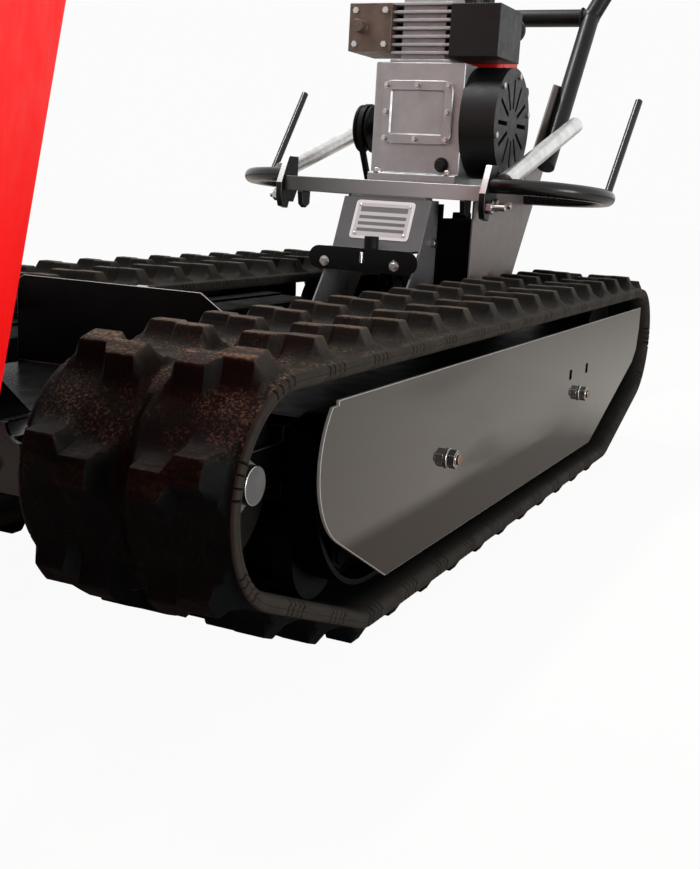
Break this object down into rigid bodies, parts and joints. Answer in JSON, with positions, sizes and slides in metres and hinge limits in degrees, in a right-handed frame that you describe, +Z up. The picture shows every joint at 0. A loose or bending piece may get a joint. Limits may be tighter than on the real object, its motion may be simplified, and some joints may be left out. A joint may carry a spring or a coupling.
{
  "type": "tracked power carrier",
  "caption": "Walk-behind tracked carrier with lugged rubber tracks, guard plates, a red skip bed tipped forward, small engine, guard hoop and handlebars.",
  "frame": {"origin": "centre of the machine's box on the ground", "axes": "+X to the machine's right, +Y to the rear, where the operator walks, +Z up"},
  "size_m": [0.636, 1.9942, 1.1429],
  "materials": {
    "track_rubber": "matte moulded rubber",
    "frame_black": "black paint",
    "panel_grey": "gloss dark grey paint",
    "bed_red": "gloss red paint",
    "zinc": "zinc plated",
    "wheel_iron": "as cast, oiled",
    "bare_plate": "bare sheet",
    "bumper_rubber": "matte",
    "engine_alloy": "die cast",
    "exhaust_steel": "heat tinted",
    "black_plastic": "textured",
    "red_plastic": "moulded",
    "bar_metal": "metallic dark grey"
  },
  "bodies": {
    "machine": {"air_cleaner": "black_plastic", "bar_brackets": "frame_black", "bulkhead": "frame_black", "crankcase": "engine_alloy", "cross_bar": "bar_metal", "cross_tubes": "frame_black", "cylinder_head": "engine_alloy", "data_plate": "bare_plate", "drive_belt": "bumper_rubber", "engine_deck": "frame_black", "fan_cover": "black_plastic", "frame_bolts": "zinc", "front_frame": "frame_black", "fuel_tank": "red_plastic", "gearbox": "frame_black", "grips": "bumper_rubber", "guard_bolts": "zinc", "guard_hoop": "frame_black", "guard_plate_left": "panel_grey", "guard_plate_right": "panel_grey", "handle_stays": "zinc", "handlebars": "frame_black", "hinge_pins": "zinc", "idler_forks": "frame_black", "main_rails": "frame_black", "muffler": "exhaust_steel", "pedestal": "panel_grey", "rest_bumper": "bumper_rubber", "rest_shelf": "black_plastic", "shift_box": "black_plastic", "side_panels": "panel_grey", "track_frame_left": "frame_black", "track_frame_right": "frame_black", "track_left": "track_rubber", "track_right": "track_rubber", "wheel_axles": "zinc"},
    "bed": {"bed_tub": "bed_red", "bed_ribs": "frame_black"},
    "latch": {"bed_latch": "zinc"},
    "sprocket_l": {"sprocket_left": "wheel_iron", "drive_shaft_left": "zinc"},
    "sprocket_r": {"sprocket_right": "wheel_iron", "drive_shaft_right": "zinc"},
    "idler_l": {"idler_left": "wheel_iron"},
    "idler_r": {"idler_right": "wheel_iron"},
    "roller_lf": {"roller_left_front": "wheel_iron"},
    "roller_lm": {"roller_left_middle": "wheel_iron"},
    "roller_lr": {"roller_left_rear": "wheel_iron"},
    "roller_rf": {"roller_right_front": "wheel_iron"},
    "roller_rm": {"roller_right_middle": "wheel_iron"},
    "roller_rr": {"roller_right_rear": "wheel_iron"},
    "engine_pulley": {"engine_pulley": "wheel_iron"},
    "gearbox_pulley": {"gearbox_pulley": "wheel_iron"},
    "recoil": {"recoil_grip": "black_plastic"},
    "fuel_cap": {"fuel_cap": "black_plastic"},
    "steer_l": {"steer_lever_left": "black_plastic"},
    "steer_r": {"steer_lever_right": "black_plastic"},
    "clutch": {"clutch_lever": "red_plastic"},
    "throttle": {"throttle_lever": "red_plastic"},
    "gear": {"gear_lever": "black_plastic"}
  },
  "joints": [
    {"name": "bed_tip", "type": "hinge", "parent": "machine", "child": "bed", "pos_m": [0, -0.619, 0.228], "axis": [1, 0, 0], "range_deg": [-75.8, 0]},
    {"name": "latch_swing", "type": "hinge", "parent": "machine", "child": "latch", "pos_m": [0, -0.329, 0.223], "axis": [1, 0, 0], "range_deg": [-22, 0]},
    {"name": "sprocket_left_spin", "type": "hinge", "parent": "machine", "child": "sprocket_l", "pos_m": [0, 0.56, 0.167], "axis": [1, 0, 0], "continuous": true},
    {"name": "sprocket_right_spin", "type": "hinge", "parent": "machine", "child": "sprocket_r", "pos_m": [0, 0.56, 0.167], "axis": [1, 0, 0], "continuous": true},
    {"name": "idler_left_spin", "type": "hinge", "parent": "machine", "child": "idler_l", "pos_m": [0, -0.56, 0.167], "axis": [1, 0, 0], "continuous": true},
    {"name": "idler_right_spin", "type": "hinge", "parent": "machine", "child": "idler_r", "pos_m": [0, -0.56, 0.167], "axis": [1, 0, 0], "continuous": true},
    {"name": "roller_left_front_spin", "type": "hinge", "parent": "machine", "child": "roller_lf", "pos_m": [0, -0.41, 0.0784], "axis": [1, 0, 0], "continuous": true},
    {"name": "roller_left_middle_spin", "type": "hinge", "parent": "machine", "child": "roller_lm", "pos_m": [0, -0.005, 0.0784], "axis": [1, 0, 0], "continuous": true},
    {"name": "roller_left_rear_spin", "type": "hinge", "parent": "machine", "child": "roller_lr", "pos_m": [0, 0.4, 0.0784], "axis": [1, 0, 0], "continuous": true},
    {"name": "roller_right_front_spin", "type": "hinge", "parent": "machine", "child": "roller_rf", "pos_m": [0, -0.41, 0.0784], "axis": [1, 0, 0], "continuous": true},
    {"name": "roller_right_middle_spin", "type": "hinge", "parent": "machine", "child": "roller_rm", "pos_m": [0, -0.005, 0.0784], "axis": [1, 0, 0], "continuous": true},
    {"name": "roller_right_rear_spin", "type": "hinge", "parent": "machine", "child": "roller_rr", "pos_m": [0, 0.4, 0.0784], "axis": [1, 0, 0], "continuous": true},
    {"name": "gearbox_pulley_spin", "type": "hinge", "parent": "machine", "child": "gearbox_pulley", "pos_m": [0, 0.545, 0.245], "axis": [1, 0, 0], "continuous": true},
    {"name": "engine_pulley_spin", "type": "hinge", "parent": "machine", "child": "engine_pulley", "pos_m": [0, 0.4, 0.47], "axis": [1, 0, 0], "continuous": true},
    {"name": "recoil_pull", "type": "slide", "parent": "machine", "child": "recoil", "axis": [0, 1, 0], "range_m": [0, 0.09], "stiffness_N_per_m": 60, "springref_m": -0.05},
    {"name": "fuel_cap_turn", "type": "hinge", "parent": "machine", "child": "fuel_cap", "pos_m": [0.03, 0.47, 0.66], "axis": [0, 0, 1], "range_deg": [0, 120]},
    {"name": "steer_left_squeeze", "type": "hinge", "parent": "machine", "child": "steer_l", "pos_m": [-0.23, 0.865, 0.856], "axis": [1, 0, 0], "range_deg": [0, 14], "stiffness_Nm_per_rad": 2, "springref_deg": -8.59},
    {"name": "steer_right_squeeze", "type": "hinge", "parent": "machine", "child": "steer_r", "pos_m": [0.23, 0.865, 0.856], "axis": [1, 0, 0], "range_deg": [0, 14], "stiffness_Nm_per_rad": 2, "springref_deg": -8.59},
    {"name": "clutch_squeeze", "type": "hinge", "parent": "machine", "child": "clutch", "pos_m": [-0.23, 0.865, 0.944], "axis": [1, 0, 0], "range_deg": [-14, 0], "stiffness_Nm_per_rad": 2.5, "springref_deg": 11.46},
    {"name": "throttle_set", "type": "hinge", "parent": "machine", "child": "throttle", "pos_m": [0.206, 0.851, 0.9], "axis": [1, 0, 0], "range_deg": [-35, 35]},
    {"name": "gear_select", "type": "hinge", "parent": "machine", "child": "gear", "pos_m": [0.04, 0.6, 0.285], "axis": [1, 0, 0], "range_deg": [-12, 12]}
  ],
  "couplings": [
    {"joint": "engine_pulley_spin", "follows": "gearbox_pulley_spin", "ratio": 1.2857},
    {"joint": "idler_left_spin", "follows": "sprocket_left_spin", "ratio": 1},
    {"joint": "roller_left_front_spin", "follows": "sprocket_left_spin", "ratio": 1.6133},
    {"joint": "roller_left_middle_spin", "follows": "sprocket_left_spin", "ratio": 1.6133},
    {"joint": "roller_left_rear_spin", "follows": "sprocket_left_spin", "ratio": 1.6133},
    {"joint": "idler_right_spin", "follows": "sprocket_right_spin", "ratio": 1},
    {"joint": "roller_right_front_spin", "follows": "sprocket_right_spin", "ratio": 1.6133},
    {"joint": "roller_right_middle_spin", "follows": "sprocket_right_spin", "ratio": 1.6133},
    {"joint": "roller_right_rear_spin", "follows": "sprocket_right_spin", "ratio": 1.6133}
  ]
}
